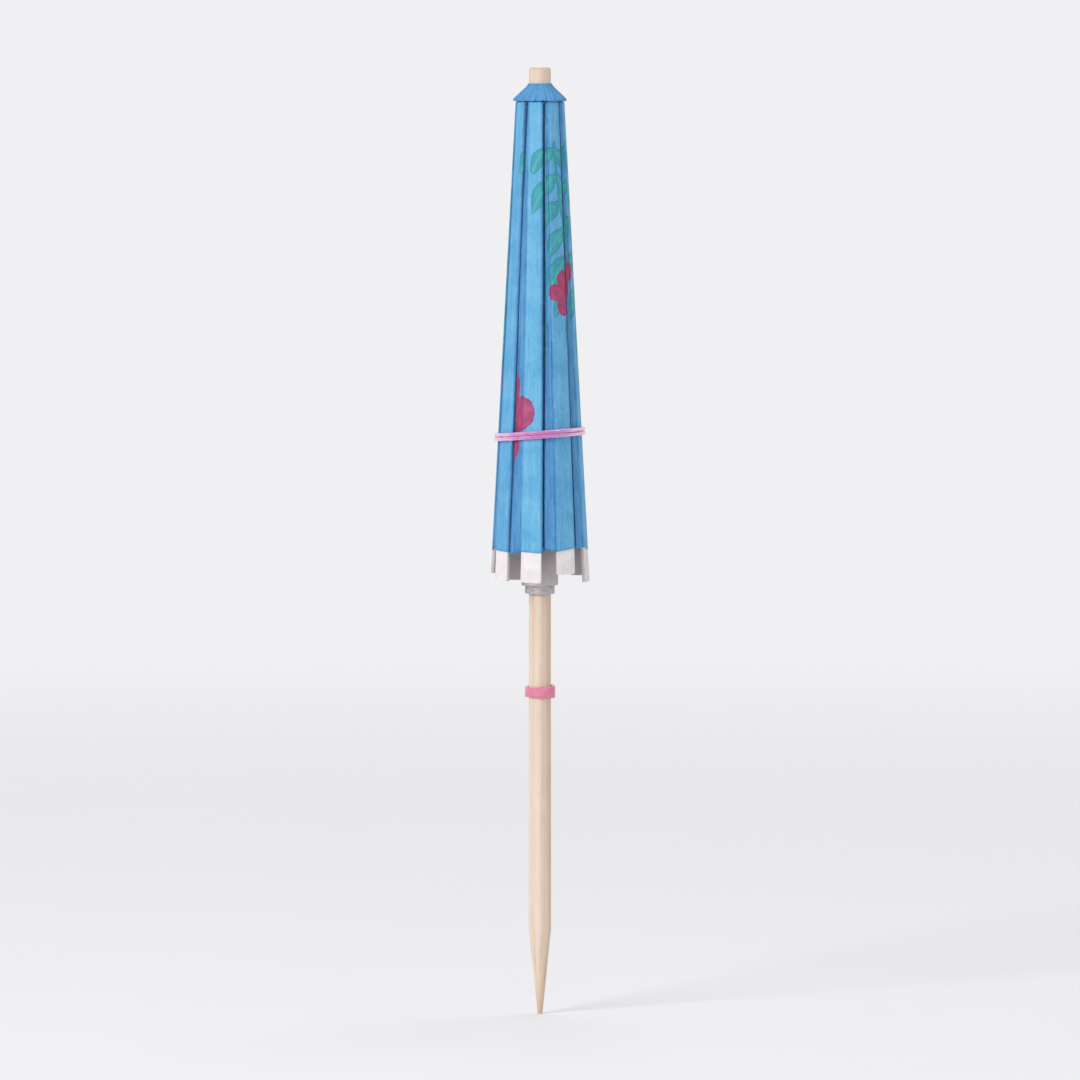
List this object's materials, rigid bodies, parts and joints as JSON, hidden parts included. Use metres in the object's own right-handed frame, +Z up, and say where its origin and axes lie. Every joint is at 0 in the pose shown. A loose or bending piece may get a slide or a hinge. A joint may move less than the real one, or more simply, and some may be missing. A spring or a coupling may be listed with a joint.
{
  "type": "cocktail umbrella pick",
  "caption": "Furled paper cocktail umbrella on a pointed wooden pick, with card ribs and struts, a sliding runner, a retaining ring and an elastic closing band.",
  "frame": {"origin": "the stick's point, on its axis, at the bottom of the part", "axes": "+Z up along the stick towards the canopy's head; -Y faces the camera"},
  "size_m": [0.0104, 0.0104, 0.1],
  "materials": {
    "stick_wood": "bare, lightly sanded birch",
    "card": "uncoated off-white card",
    "canopy_paper": "thin light-blue printed paper, matt",
    "newsprint": "rolled grey newsprint",
    "ring_plastic": "soft translucent pink plastic",
    "band_elastic": "translucent pink elastic, satin"
  },
  "bodies": {
    "stick": {"stick": "stick_wood", "hub_disc": "card", "hub_collar": "card", "crown_cap": "canopy_paper"},
    "runner": {"newsprint_sleeve": "newsprint", "runner_collar": "card", "strut_disc": "card"},
    "retaining_ring": {"retaining_ring": "ring_plastic"},
    "closing_band": {"closing_band": "band_elastic"},
    "rib_1": {"rib_1": "card", "canopy_strip_1": "canopy_paper"},
    "strut_1": {"strut_1": "card"},
    "fold_1_left": {"canopy_fold_1_left": "canopy_paper"},
    "fold_1_right": {"canopy_fold_1_right": "canopy_paper"},
    "rib_2": {"rib_2": "card", "canopy_strip_2": "canopy_paper"},
    "strut_2": {"strut_2": "card"},
    "fold_2_left": {"canopy_fold_2_left": "canopy_paper"},
    "fold_2_right": {"canopy_fold_2_right": "canopy_paper"},
    "rib_3": {"rib_3": "card", "canopy_strip_3": "canopy_paper"},
    "strut_3": {"strut_3": "card"},
    "fold_3_left": {"canopy_fold_3_left": "canopy_paper"},
    "fold_3_right": {"canopy_fold_3_right": "canopy_paper"},
    "rib_4": {"rib_4": "card", "canopy_strip_4": "canopy_paper"},
    "strut_4": {"strut_4": "card"},
    "fold_4_left": {"canopy_fold_4_left": "canopy_paper"},
    "fold_4_right": {"canopy_fold_4_right": "canopy_paper"},
    "rib_5": {"rib_5": "card", "canopy_strip_5": "canopy_paper"},
    "strut_5": {"strut_5": "card"},
    "fold_5_left": {"canopy_fold_5_left": "canopy_paper"},
    "fold_5_right": {"canopy_fold_5_right": "canopy_paper"},
    "rib_6": {"rib_6": "card", "canopy_strip_6": "canopy_paper"},
    "strut_6": {"strut_6": "card"},
    "fold_6_left": {"canopy_fold_6_left": "canopy_paper"},
    "fold_6_right": {"canopy_fold_6_right": "canopy_paper"},
    "rib_7": {"rib_7": "card", "canopy_strip_7": "canopy_paper"},
    "strut_7": {"strut_7": "card"},
    "fold_7_left": {"canopy_fold_7_left": "canopy_paper"},
    "fold_7_right": {"canopy_fold_7_right": "canopy_paper"},
    "rib_8": {"rib_8": "card", "canopy_strip_8": "canopy_paper"},
    "strut_8": {"strut_8": "card"},
    "fold_8_left": {"canopy_fold_8_left": "canopy_paper"},
    "fold_8_right": {"canopy_fold_8_right": "canopy_paper"}
  },
  "joints": [
    {"name": "runner_slide", "type": "slide", "parent": "stick", "child": "runner", "axis": [0, 0, 1], "range_m": [0, 0.03176]},
    {"name": "ring_slide", "type": "slide", "parent": "runner", "child": "retaining_ring", "axis": [0, 0, 1], "range_m": [-0.02339, 0.00955]},
    {"name": "band_slip", "type": "slide", "parent": "stick", "child": "closing_band", "axis": [0, 0, -1], "range_m": [0, 0.06051], "deforming": ["closing_band"]},
    {"name": "rib_1_crease", "type": "hinge", "parent": "stick", "child": "rib_1", "pos_m": [-0.00043, -0.00221, 0.0962], "axis": [-0.9816, 0.1908, 0], "range_deg": [0, 72]},
    {"name": "strut_1_crease", "type": "hinge", "parent": "rib_1", "child": "strut_1", "pos_m": [-0.00057, -0.00291, 0.07421], "axis": [-0.9816, 0.1908, 0], "range_deg": [-144, 0]},
    {"name": "fold_1_left_spread", "type": "hinge", "parent": "rib_1", "child": "fold_1_left", "pos_m": [-0.00042, -0.00216, 0.09709], "axis": [0.1905, 0.9803, -0.0523], "range_deg": [0, 20.56], "deforming": ["canopy_fold_1_left"]},
    {"name": "fold_1_right_spread", "type": "hinge", "parent": "rib_1", "child": "fold_1_right", "pos_m": [-0.00042, -0.00216, 0.09709], "axis": [-0.1905, -0.9803, 0.0523], "range_deg": [0, 20.56], "deforming": ["canopy_fold_1_right"]},
    {"name": "rib_2_crease", "type": "hinge", "parent": "stick", "child": "rib_2", "pos_m": [0.00126, -0.00187, 0.0962], "axis": [-0.829, -0.5592, 0], "range_deg": [0, 72]},
    {"name": "strut_2_crease", "type": "hinge", "parent": "rib_2", "child": "strut_2", "pos_m": [0.00166, -0.00246, 0.07421], "axis": [-0.829, -0.5592, 0], "range_deg": [-144, 0]},
    {"name": "fold_2_left_spread", "type": "hinge", "parent": "rib_2", "child": "fold_2_left", "pos_m": [0.00123, -0.00183, 0.09709], "axis": [-0.5584, 0.8279, -0.0523], "range_deg": [0, 20.56], "deforming": ["canopy_fold_2_left"]},
    {"name": "fold_2_right_spread", "type": "hinge", "parent": "rib_2", "child": "fold_2_right", "pos_m": [0.00123, -0.00183, 0.09709], "axis": [0.5584, -0.8279, 0.0523], "range_deg": [0, 20.56], "deforming": ["canopy_fold_2_right"]},
    {"name": "rib_3_crease", "type": "hinge", "parent": "stick", "child": "rib_3", "pos_m": [0.00221, -0.00043, 0.0962], "axis": [-0.1908, -0.9816, 0], "range_deg": [0, 72]},
    {"name": "strut_3_crease", "type": "hinge", "parent": "rib_3", "child": "strut_3", "pos_m": [0.00291, -0.00057, 0.07421], "axis": [-0.1908, -0.9816, 0], "range_deg": [-144, 0]},
    {"name": "fold_3_left_spread", "type": "hinge", "parent": "rib_3", "child": "fold_3_left", "pos_m": [0.00216, -0.00042, 0.09709], "axis": [-0.9803, 0.1905, -0.0523], "range_deg": [0, 20.56], "deforming": ["canopy_fold_3_left"]},
    {"name": "fold_3_right_spread", "type": "hinge", "parent": "rib_3", "child": "fold_3_right", "pos_m": [0.00216, -0.00042, 0.09709], "axis": [0.9803, -0.1905, 0.0523], "range_deg": [0, 20.56], "deforming": ["canopy_fold_3_right"]},
    {"name": "rib_4_crease", "type": "hinge", "parent": "stick", "child": "rib_4", "pos_m": [0.00187, 0.00126, 0.0962], "axis": [0.5592, -0.829, 0], "range_deg": [0, 72]},
    {"name": "strut_4_crease", "type": "hinge", "parent": "rib_4", "child": "strut_4", "pos_m": [0.00246, 0.00166, 0.07421], "axis": [0.5592, -0.829, 0], "range_deg": [-144, 0]},
    {"name": "fold_4_left_spread", "type": "hinge", "parent": "rib_4", "child": "fold_4_left", "pos_m": [0.00183, 0.00123, 0.09709], "axis": [-0.8279, -0.5584, -0.0523], "range_deg": [0, 20.56], "deforming": ["canopy_fold_4_left"]},
    {"name": "fold_4_right_spread", "type": "hinge", "parent": "rib_4", "child": "fold_4_right", "pos_m": [0.00183, 0.00123, 0.09709], "axis": [0.8279, 0.5584, 0.0523], "range_deg": [0, 20.56], "deforming": ["canopy_fold_4_right"]},
    {"name": "rib_5_crease", "type": "hinge", "parent": "stick", "child": "rib_5", "pos_m": [0.00043, 0.00221, 0.0962], "axis": [0.9816, -0.1908, 0], "range_deg": [0, 72]},
    {"name": "strut_5_crease", "type": "hinge", "parent": "rib_5", "child": "strut_5", "pos_m": [0.00057, 0.00291, 0.07421], "axis": [0.9816, -0.1908, 0], "range_deg": [-144, 0]},
    {"name": "fold_5_left_spread", "type": "hinge", "parent": "rib_5", "child": "fold_5_left", "pos_m": [0.00042, 0.00216, 0.09709], "axis": [-0.1905, -0.9803, -0.0523], "range_deg": [0, 20.56], "deforming": ["canopy_fold_5_left"]},
    {"name": "fold_5_right_spread", "type": "hinge", "parent": "rib_5", "child": "fold_5_right", "pos_m": [0.00042, 0.00216, 0.09709], "axis": [0.1905, 0.9803, 0.0523], "range_deg": [0, 20.56], "deforming": ["canopy_fold_5_right"]},
    {"name": "rib_6_crease", "type": "hinge", "parent": "stick", "child": "rib_6", "pos_m": [-0.00126, 0.00187, 0.0962], "axis": [0.829, 0.5592, 0], "range_deg": [0, 72]},
    {"name": "strut_6_crease", "type": "hinge", "parent": "rib_6", "child": "strut_6", "pos_m": [-0.00166, 0.00246, 0.07421], "axis": [0.829, 0.5592, 0], "range_deg": [-144, 0]},
    {"name": "fold_6_left_spread", "type": "hinge", "parent": "rib_6", "child": "fold_6_left", "pos_m": [-0.00123, 0.00183, 0.09709], "axis": [0.5584, -0.8279, -0.0523], "range_deg": [0, 20.56], "deforming": ["canopy_fold_6_left"]},
    {"name": "fold_6_right_spread", "type": "hinge", "parent": "rib_6", "child": "fold_6_right", "pos_m": [-0.00123, 0.00183, 0.09709], "axis": [-0.5584, 0.8279, 0.0523], "range_deg": [0, 20.56], "deforming": ["canopy_fold_6_right"]},
    {"name": "rib_7_crease", "type": "hinge", "parent": "stick", "child": "rib_7", "pos_m": [-0.00221, 0.00043, 0.0962], "axis": [0.1908, 0.9816, 0], "range_deg": [0, 72]},
    {"name": "strut_7_crease", "type": "hinge", "parent": "rib_7", "child": "strut_7", "pos_m": [-0.00291, 0.00057, 0.07421], "axis": [0.1908, 0.9816, 0], "range_deg": [-144, 0]},
    {"name": "fold_7_left_spread", "type": "hinge", "parent": "rib_7", "child": "fold_7_left", "pos_m": [-0.00216, 0.00042, 0.09709], "axis": [0.9803, -0.1905, -0.0523], "range_deg": [0, 20.56], "deforming": ["canopy_fold_7_left"]},
    {"name": "fold_7_right_spread", "type": "hinge", "parent": "rib_7", "child": "fold_7_right", "pos_m": [-0.00216, 0.00042, 0.09709], "axis": [-0.9803, 0.1905, 0.0523], "range_deg": [0, 20.56], "deforming": ["canopy_fold_7_right"]},
    {"name": "rib_8_crease", "type": "hinge", "parent": "stick", "child": "rib_8", "pos_m": [-0.00187, -0.00126, 0.0962], "axis": [-0.5592, 0.829, 0], "range_deg": [0, 72]},
    {"name": "strut_8_crease", "type": "hinge", "parent": "rib_8", "child": "strut_8", "pos_m": [-0.00246, -0.00166, 0.07421], "axis": [-0.5592, 0.829, 0], "range_deg": [-144, 0]},
    {"name": "fold_8_left_spread", "type": "hinge", "parent": "rib_8", "child": "fold_8_left", "pos_m": [-0.00183, -0.00123, 0.09709], "axis": [0.8279, 0.5584, -0.0523], "range_deg": [0, 20.56], "deforming": ["canopy_fold_8_left"]},
    {"name": "fold_8_right_spread", "type": "hinge", "parent": "rib_8", "child": "fold_8_right", "pos_m": [-0.00183, -0.00123, 0.09709], "axis": [-0.8279, -0.5584, 0.0523], "range_deg": [0, 20.56], "deforming": ["canopy_fold_8_right"]}
  ],
  "couplings": [
    {"joint": "band_slip", "follows": "runner_slide", "ratio": 1.9055},
    {"joint": "rib_1_crease", "follows": "runner_slide", "rad_per_m": 39.57},
    {"joint": "strut_1_crease", "follows": "runner_slide", "rad_per_m": -79.141},
    {"joint": "fold_1_left_spread", "follows": "runner_slide", "rad_per_m": 11.302},
    {"joint": "fold_1_right_spread", "follows": "runner_slide", "rad_per_m": 11.302},
    {"joint": "rib_2_crease", "follows": "runner_slide", "rad_per_m": 39.57},
    {"joint": "strut_2_crease", "follows": "runner_slide", "rad_per_m": -79.141},
    {"joint": "fold_2_left_spread", "follows": "runner_slide", "rad_per_m": 11.302},
    {"joint": "fold_2_right_spread", "follows": "runner_slide", "rad_per_m": 11.302},
    {"joint": "rib_3_crease", "follows": "runner_slide", "rad_per_m": 39.57},
    {"joint": "strut_3_crease", "follows": "runner_slide", "rad_per_m": -79.141},
    {"joint": "fold_3_left_spread", "follows": "runner_slide", "rad_per_m": 11.302},
    {"joint": "fold_3_right_spread", "follows": "runner_slide", "rad_per_m": 11.302},
    {"joint": "rib_4_crease", "follows": "runner_slide", "rad_per_m": 39.57},
    {"joint": "strut_4_crease", "follows": "runner_slide", "rad_per_m": -79.141},
    {"joint": "fold_4_left_spread", "follows": "runner_slide", "rad_per_m": 11.302},
    {"joint": "fold_4_right_spread", "follows": "runner_slide", "rad_per_m": 11.302},
    {"joint": "rib_5_crease", "follows": "runner_slide", "rad_per_m": 39.57},
    {"joint": "strut_5_crease", "follows": "runner_slide", "rad_per_m": -79.141},
    {"joint": "fold_5_left_spread", "follows": "runner_slide", "rad_per_m": 11.302},
    {"joint": "fold_5_right_spread", "follows": "runner_slide", "rad_per_m": 11.302},
    {"joint": "rib_6_crease", "follows": "runner_slide", "rad_per_m": 39.57},
    {"joint": "strut_6_crease", "follows": "runner_slide", "rad_per_m": -79.141},
    {"joint": "fold_6_left_spread", "follows": "runner_slide", "rad_per_m": 11.302},
    {"joint": "fold_6_right_spread", "follows": "runner_slide", "rad_per_m": 11.302},
    {"joint": "rib_7_crease", "follows": "runner_slide", "rad_per_m": 39.57},
    {"joint": "strut_7_crease", "follows": "runner_slide", "rad_per_m": -79.141},
    {"joint": "fold_7_left_spread", "follows": "runner_slide", "rad_per_m": 11.302},
    {"joint": "fold_7_right_spread", "follows": "runner_slide", "rad_per_m": 11.302},
    {"joint": "rib_8_crease", "follows": "runner_slide", "rad_per_m": 39.57},
    {"joint": "strut_8_crease", "follows": "runner_slide", "rad_per_m": -79.141},
    {"joint": "fold_8_left_spread", "follows": "runner_slide", "rad_per_m": 11.302},
    {"joint": "fold_8_right_spread", "follows": "runner_slide", "rad_per_m": 11.302}
  ]
}
